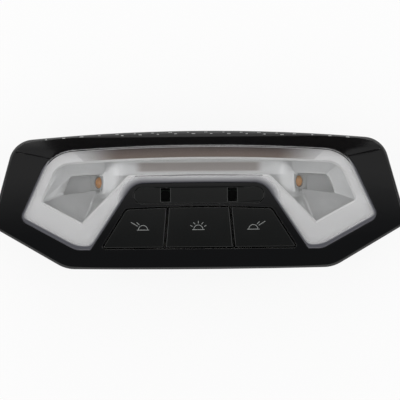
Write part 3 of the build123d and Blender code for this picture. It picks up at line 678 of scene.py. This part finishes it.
def cutSlotSides(piece):
    # straight cuts along the slots' sides and ends, so that the front keeps even faces
    for axis in (0, 1):
        places = set()
        for face in piece.data.polygons:
            across = [piece.data.vertices[i].co.x for i in face.vertices]
            narrow = max(across) - min(across) < sensorSlot["width"] * mm
            facing = abs(face.normal[axis]) > sensorSlot["leastFacing"]
            if narrow and facing and abs(face.center.x) < sensorSlot["reach"] * mm:
                places.add(round(face.center[axis], 5))  # to 0.01 mm, so that a side is cut once
        way = Vector([float(i == axis) for i in range(3)])
        selectOnly(piece)
        bpy.ops.object.mode_set(mode="EDIT")
        for place in sorted(places):
            bpy.ops.mesh.select_all(action="SELECT")
            bpy.ops.mesh.bisect(plane_co=way * place, plane_no=way, threshold=cutTolerance)
        bpy.ops.object.mode_set(mode="OBJECT")


softEdges = {
    "bezel": {"radius": 0.25, "segments": 3, "angle": 25, "smooth": 40},
    "lens": {"radius": 0.1, "segments": 3, "angle": 25, "smooth": 40},
    "trim": {"radius": 0.05, "segments": 2, "angle": 40, "smooth": 40},
    "reflector": {
        "radius": 0.9, "segments": 5, "angle": 9, "smooth": 20,
        "shortest": 3.0, "smallest": 14.0, "lowest": 20.0, "leastFacing": 0.12,
    },
    "button": {"radius": 0.15, "segments": 3, "angle": 25, "smooth": 40},
    "sensor": {"radius": 0.4, "segments": 3, "angle": 30, "smooth": 40},
}
bezel = softCopy("bezel", "bezel_moulding", "lamp", blackGloss, softEdges["bezel"], cutCreases)
lens = softCopy("lens", "lens_moulding", "lamp", clear, softEdges["lens"])
lens.visible_shadow = False
trim = softCopy("trim_frame", "trim_painted", "lamp", silver, softEdges["trim"])
reflector = softCopy(
    "reflector", "reflector_metallised", "lamp", metallised, softEdges["reflector"], cutRamps)
blendRamps(reflector)
softCopy(
    "sensor_cover", "sensor_cover_moulding", "lamp", blackSatin, softEdges["sensor"], cutSlotSides)
caps = {}
for side in ("left", "centre", "right"):
    caps[side] = softCopy(
        "button_" + side, "button_cap_" + side, "push_" + side, blackSatin, softEdges["button"])

print("stage: fluted strip")
# the band's taupe tints are painted dark reflection; its bare tint is the foil's own silver
flutedStrip = {
    "top": 25.2, "bottom": 20.5, "half": 60.0, "endSlope": 1.9, "bow": 930.0,
    "pitch": 0.8, "rows": 6, "height": 0.04, "gap": 0.01, "paintedTint": "#7d7168",
    "bareTint": "#d8d9d8", "bareShare": 0.97, "fade": (37.0, 62.0),
    "paintedDeepReflectionTint": "#5c5350", "shade": (21.5, 25.0),
}


def foilWithPaintedReflection():
    # Metallised foil, half bright, with a taupe painted dark reflection that runs out to bare
    # silver at both ends
    material, tree, shader = newMaterial("metallised_foil_painted_reflection", Metallic=0.35, Roughness=0.38)
    place = addNode(tree, "ShaderNodeTexCoord").outputs["Object"]
    axes = addNode(tree, "ShaderNodeSeparateXYZ", {"Vector": place}).outputs
    across = addNode(tree, "ShaderNodeMath", {0: axes["X"]}, operation="ABSOLUTE").outputs[0]
    start, end = [v * mm for v in flutedStrip["fade"]]
    bare = addNode(tree, "ShaderNodeMapRange", {
        "Value": across, "From Min": start, "From Max": end, "To Max": flutedStrip["bareShare"]},
        interpolation_type="SMOOTHSTEP")
    # painted reflection, darker towards the rim along the arch
    arch = addNode(tree, "ShaderNodeMath", {0: across, 1: across}, operation="MULTIPLY").outputs[0]
    level = addNode(tree, "ShaderNodeMath", {
        0: arch, 1: 0.5 / (flutedStrip["bow"] * mm), 2: axes["Y"]},
        operation="MULTIPLY_ADD").outputs[0]
    low, high = [v * mm for v in flutedStrip["shade"]]
    shade = addNode(tree, "ShaderNodeMapRange", {"Value": level, "From Min": low, "From Max": high})
    paintedDarkReflection = addNode(tree, "ShaderNodeMixRGB", {
        "Fac": shade.outputs["Result"], "Color1": linearColour(flutedStrip["paintedTint"]),
        "Color2": linearColour(flutedStrip["paintedDeepReflectionTint"])})
    tone = addNode(tree, "ShaderNodeMixRGB", {
        "Fac": bare.outputs["Result"], "Color1": paintedDarkReflection.outputs["Color"],
        "Color2": linearColour(flutedStrip["bareTint"])})
    tree.links.new(tone.outputs["Color"], shader.inputs["Base Color"])
    return material


def makeFlutedStrip():
    half, pitch = flutedStrip["half"], flutedStrip["pitch"]
    height = flutedStrip["top"] - flutedStrip["bottom"]
    strip = addSheet(2 * half, height, int(4 * half / pitch), flutedStrip["rows"])
    # every second column of points is a crest
    crests = strip.vertex_groups.new(name="crests")
    step = pitch / 2 * mm
    odd = [v.index for v in strip.data.vertices if round((v.co.x + half * mm) / step) % 2]
    crests.add(odd, 1.0, "ADD")
    # mitred ends, then the arch of the lens band
    bpy.ops.object.mode_set(mode="EDIT")
    for way in (-1, 1):
        bpy.ops.mesh.select_all(action="SELECT")
        bpy.ops.mesh.bisect(
            plane_co=(way * half * mm, height / 2 * mm, 0),
            plane_no=(way * flutedStrip["endSlope"], -1, 0), clear_outer=True)
    bpy.ops.object.mode_set(mode="OBJECT")
    bowSheet(strip, half, flutedStrip["bow"])
    liftAbove(strip, 0, (flutedStrip["top"] + flutedStrip["bottom"]) / 2)
    layOn(strip, trim, flutedStrip["gap"])
    flutes = strip.modifiers.new("flutes", "DISPLACE")
    flutes.direction = "Z"
    flutes.strength = flutedStrip["height"] * mm
    flutes.mid_level = 0.0
    flutes.vertex_group = "crests"
    foil = strip.modifiers.new("foil", "SOLIDIFY")
    foil.thickness = flutedStrip["gap"] * mm
    foil.offset = -1
    applyAll(strip)
    finishPiece(strip, "fluted_strip", "lamp", foilWithPaintedReflection())


makeFlutedStrip()

print("stage: window gap")
# painted shadow: a dark strip where the window's lower edge meets the reflector
windowGap = {
    "half": 30.5, "middle": 11.95, "width": 0.6, "bow": 930.0, "sheet": 0.04,
    "columns": 60, "rows": 2, "paintedTint": "#161413", "shadowPatchTint": "#231f1e",
}


def paintedShadowStrip():
    # Painted shadow: a dull black strip, no shine, in the gap between window and reflector
    material, tree, shader = newMaterial("painted_shadow_strip", Roughness=0.95)
    unevenTone(tree, shader, 0.5, 3.0, (windowGap["paintedTint"], windowGap["shadowPatchTint"]))
    return material


def makeWindowGap():
    tape = addSheet(
        2 * windowGap["half"], windowGap["width"], windowGap["columns"], windowGap["rows"])
    bowSheet(tape, windowGap["half"], windowGap["bow"])
    liftAbove(tape, 0, windowGap["middle"])
    layOn(tape, trim, windowGap["sheet"])
    # thickness of the painted shadow strip
    shadowStripDepth = tape.modifiers.new("shadowStripDepth", "SOLIDIFY")
    shadowStripDepth.thickness = windowGap["sheet"] * mm
    shadowStripDepth.offset = -1
    applyAll(tape)
    finishPiece(tape, "window_gap_painted_shadow", "lamp", paintedShadowStrip())


makeWindowGap()

print("stage: reading lights")
readingLight = {
    "segments": 32, "rings": 18, "skirt": 0.2, "edge": 0.1, "edgeSteps": 2, "smooth": 50,
    "glow": (1.0, 0.5, 0.2), "tones": ("#b07840", "#d8a468"),
}


def amberEpoxy():
    # Cast epoxy over phosphor: warm cloudy amber that light soaks into, with a wet gloss
    material, tree, shader = newMaterial(
        "amber_epoxy", Roughness=0.14, IOR=1.55, Subsurface_Weight=0.3, Subsurface_Scale=1.0,
        Subsurface_Radius=[depth * mm for depth in readingLight["glow"]])
    unevenTone(tree, shader, 2.5, 2.0, readingLight["tones"])
    return material


def makeReadingLight(side, material):
    # base and axis are read from the largest flat cap of the CAD piece
    node = nodes["reading_led_" + side]
    flats = {}
    for face in node.data.polygons:
        flats.setdefault(tuple(round(v, 2) for v in face.normal), []).append(face)
    base = max(flats.values(), key=lambda faces: sum(face.area for face in faces))
    axis = -base[0].normal
    corners = {
        tuple(round(v, 7) for v in node.data.vertices[i].co)
        for face in base for i in face.vertices}
    middle = sum((Vector(corner) for corner in corners), Vector()) / len(corners)
    radius = max((Vector(corner) - middle).length for corner in corners)
    height = max((vertex.co - middle).dot(axis) for vertex in node.data.vertices)
    skirt = readingLight["skirt"] * height
    selectOnly(node)
    bpy.ops.mesh.primitive_uv_sphere_add(
        segments=readingLight["segments"], ring_count=readingLight["rings"], radius=radius,
        location=(0, 0, 0))
    dome = bpy.context.active_object
    bpy.ops.object.mode_set(mode="EDIT")
    bpy.ops.mesh.select_all(action="SELECT")
    bpy.ops.mesh.bisect(plane_co=(0, 0, 0), plane_no=(0, 0, 1), use_fill=True, clear_inner=True)
    bpy.ops.mesh.select_all(action="SELECT")
    bpy.ops.transform.resize(value=(1, 1, (height - skirt) / radius), center_override=(0, 0, 0))
    selectFaces(dome, lambda face: face.normal.z < -levelNormal)
    bpy.ops.mesh.extrude_region_move(TRANSFORM_OT_translate={"value": (0, 0, -skirt)})
    bpy.ops.mesh.bevel(offset=readingLight["edge"] * mm, segments=readingLight["edgeSteps"])
    bpy.ops.mesh.select_all(action="SELECT")
    bpy.ops.mesh.normals_make_consistent(inside=False)
    bpy.ops.object.mode_set(mode="OBJECT")
    bpy.ops.object.shade_smooth_by_angle(angle=math.radians(readingLight["smooth"]))
    turn = axis.to_track_quat("Z", "Y").to_matrix().to_4x4()
    dome.matrix_world = Matrix.Translation(middle + axis * skirt) @ turn
    finishPiece(dome, "reading_light_dome_" + side, "lamp", material)
    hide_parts("reading_led_" + side)


amber = amberEpoxy()
for side in ("left", "right"):
    makeReadingLight(side, amber)

print("stage: lamp symbols")
lampSymbol = {
    "stroke": 0.3, "domeRadius": 2.2, "domeSteps": 48, "baseWidth": 5.9, "baseY": -14.2,
    "round": 0.12, "roundSteps": 3, "print": 0.03, "tones": ("#767877", "#929493"),
    "sideRays": (((2.7, 1.9), (5.6, 3.7)), ((1.85, 2.5), (2.9, 3.6))),
    "fanRays": (((0, 3.05), (0, 4.05)), ((1.6, 2.6), (2.25, 3.4)), ((-1.6, 2.6), (-2.25, 3.4)),
                ((2.9, 1.55), (3.75, 2.0)), ((-2.9, 1.55), (-3.75, 2.0))),
    "middles": {"left": -26.9, "centre": -0.4, "right": 25.9},
}


def greyPrint():
    # Pad-printed ink: pale grey, matt, a little thin in places
    material, tree, shader = newMaterial("grey_pad_print", Roughness=0.6)
    unevenTone(tree, shader, 0.6, 2.0, lampSymbol["tones"])
    return material


def symbolBar(start, end):
    # one printed stroke with rounded ends
    along = Vector((end[0] - start[0], end[1] - start[1]))
    bpy.ops.mesh.primitive_plane_add(
        size=1, location=((start[0] + end[0]) / 2 * mm, (start[1] + end[1]) / 2 * mm, 0),
        rotation=(0, 0, math.atan2(along.y, along.x)))
    bar = bpy.context.active_object
    bar.scale = ((along.length + lampSymbol["stroke"]) * mm, lampSymbol["stroke"] * mm, 1)
    bpy.ops.object.transform_apply(location=True, rotation=True, scale=True)
    bpy.ops.object.mode_set(mode="EDIT")
    bpy.ops.mesh.select_all(action="SELECT")
    bpy.ops.mesh.bevel(
        offset=lampSymbol["round"] * mm, segments=lampSymbol["roundSteps"], affect="VERTICES")
    bpy.ops.object.mode_set(mode="OBJECT")
    return bar


def symbolDome():
    # half a ring
    radius = (lampSymbol["domeRadius"] + lampSymbol["stroke"] / 2) * mm
    bpy.ops.mesh.primitive_circle_add(
        vertices=lampSymbol["domeSteps"], radius=radius, fill_type="NGON", location=(0, 0, 0))
    dome = bpy.context.active_object
    bpy.ops.object.mode_set(mode="EDIT")
    bpy.ops.mesh.select_mode(type="FACE")
    bpy.ops.mesh.select_all(action="SELECT")
    bpy.ops.mesh.inset(thickness=lampSymbol["stroke"] * mm)
    bpy.ops.mesh.delete(type="FACE")
    bpy.ops.mesh.select_all(action="SELECT")
    bpy.ops.mesh.bisect(plane_co=(0, 0, 0), plane_no=(0, 1, 0), clear_inner=True)
    bpy.ops.object.mode_set(mode="OBJECT")
    return dome


def makeSymbol(side, material):
    mirror = -1 if side == "left" else 1
    rays = lampSymbol["fanRays"] if side == "centre" else lampSymbol["sideRays"]
    half = (lampSymbol["baseWidth"] - lampSymbol["stroke"]) / 2
    bpy.ops.object.select_all(action="DESELECT")
    strokes = [symbolDome(), symbolBar((-half, 0), (half, 0))]
    for start, end in rays:
        strokes.append(symbolBar((mirror * start[0], start[1]), (mirror * end[0], end[1])))
    symbol = joinPieces(strokes)
    liftAbove(symbol, lampSymbol["middles"][side], lampSymbol["baseY"])
    layOn(symbol, caps[side], lampSymbol["print"] / 2)
    printed = symbol.modifiers.new("print", "SOLIDIFY")
    printed.thickness = lampSymbol["print"] * mm
    printed.offset = 0
    applyAll(symbol)
    finishPiece(symbol, "lamp_symbol_" + side, "push_" + side, material)


ink = greyPrint()
for side in ("left", "centre", "right"):
    makeSymbol(side, ink)

print("stage: rim pips")
# painted highlights: raised pale pips that stand for the bright glints along the top rim
rimPip = {
    "length": 1.7, "width": 0.42, "height": 0.3, "sink": 0.06, "edge": 0.09, "edgeSteps": 2,
    "crown": (0.8, 0.5, 1.0), "smooth": 40, "pitch": 8.5, "topRadius": 886.0,
    "rows": ((0.75, 0.0, 73.0), (1.35, 2.6, 39.0)),  # inset from the top, shift along it, reach
    "lengths": (1.0, 0.6, 0.85, 1.1, 0.7),
}


def paintedGlintMetal():
    # Pale metal for painted glints: small bright points along the top rim, tone and gloss a
    # little uneven
    return plainMetal("metal_painted_glints", "#a9aaa9", "#bbbcbb", 0.32, 0.4)


def makeRimPips():
    selectOnly(bezel)
    bpy.ops.mesh.primitive_cube_add(size=1, location=(0, 0, 0))
    first = bpy.context.active_object
    first.scale = (rimPip["length"] * mm, rimPip["width"] * mm, rimPip["height"] * mm)
    bpy.ops.object.transform_apply(location=False, rotation=False, scale=True)
    selectFaces(first, lambda face: face.normal.z > levelNormal)
    crownMiddle = (0, 0, rimPip["height"] / 2 * mm)
    bpy.ops.transform.resize(value=rimPip["crown"], center_override=crownMiddle)
    bpy.ops.mesh.bevel(offset=rimPip["edge"] * mm, segments=rimPip["edgeSteps"])
    bpy.ops.object.mode_set(mode="OBJECT")
    top = cadBox[1][1]
    pips = [first]
    places = []
    for inset, shift, reach in rimPip["rows"]:
        for i in range(int(2 * reach // rimPip["pitch"]) + 1):
            x = (-reach + i * rimPip["pitch"] + shift) * mm
            places.append((x, top - x * x / (2 * rimPip["topRadius"] * mm) - inset * mm))
    for x, y in places:
        _, spot, normal, _ = bezel.ray_cast((x, y, layHeight), (0, 0, -1))
        pip = first
        if (x, y) != places[0]:
            selectOnly(first)
            bpy.ops.object.duplicate()
            pip = bpy.context.active_object
            pips.append(pip)
        pip.matrix_world = (
            Matrix.Translation(spot + normal * (rimPip["height"] / 2 - rimPip["sink"]) * mm)
            @ normal.to_track_quat("Z", "Y").to_matrix().to_4x4()
            @ Matrix.Scale(rimPip["lengths"][len(pips) % len(rimPip["lengths"])], 4, (1, 0, 0)))
    joinPieces(pips)
    bpy.ops.object.shade_smooth_by_angle(angle=math.radians(rimPip["smooth"]))
    finishPiece(first, "rim_glint_pips", "lamp", paintedGlintMetal())


makeRimPips()

print("stage: inner pieces and back")
# by the start of the node's name: finish, colours, roughness, grain in millimetres
hiddenFinishes = {
    "rear_housing": plainPlastic("black_polypropylene", "#1b1c1d", 0.5, 0.5),
    "button_guide": plainPlastic("white_pom", "#d8d8d2", 0.4, 0.5),
    "connector_shell": plainPlastic("black_pbt", "#161617", 0.45, 0.4),
    "sensor_header": plainPlastic("black_pbt_header", "#161617", 0.45, 0.4),
    "circuit_board": plainPlastic("solder_mask", "#14502e", 0.3, 1.2),
    "sensor_board": plainPlastic("sensor_solder_mask", "#14502e", 0.3, 1.2),
    "led_board": plainPlastic("white_solder_mask", "#e6e6e0", 0.4, 1.0),
    "control_chip": plainPlastic("black_epoxy", "#151515", 0.6, 0.3),
    "button_backlights": plainPlastic("white_silicone", "#e2dcc0", 0.4, 0.6),
    "switch": plainPlastic("black_nylon", "#191919", 0.5, 0.4),
    "plunger": plainPlastic("grey_nylon", "#7c7c7c", 0.5, 0.4),
    "sensor_capsule": plainPlastic("black_filter_epoxy", "#030303", 0.5, 0.4, shine=0.1),
    "sensor_pins": plainMetal("tinned_brass", "#a9a49a", "#c2bdb2", 0.35, 0.5),
    "connector_pins": plainMetal("tinned_brass_tabs", "#a9a49a", "#c2bdb2", 0.35, 0.5),
    "housing_screws": plainMetal("zinc_plated_steel", "#9a9c9e", "#bfc1c3", 0.32, 0.4),
    "spring_clip": plainMetal("spring_steel", "#74777a", "#96999c", 0.34, 0.6),
}
for nodeName, node in nodes.items():
    for start, material in hiddenFinishes.items():
        if nodeName.startswith(start):
            setMaterial(node, material)
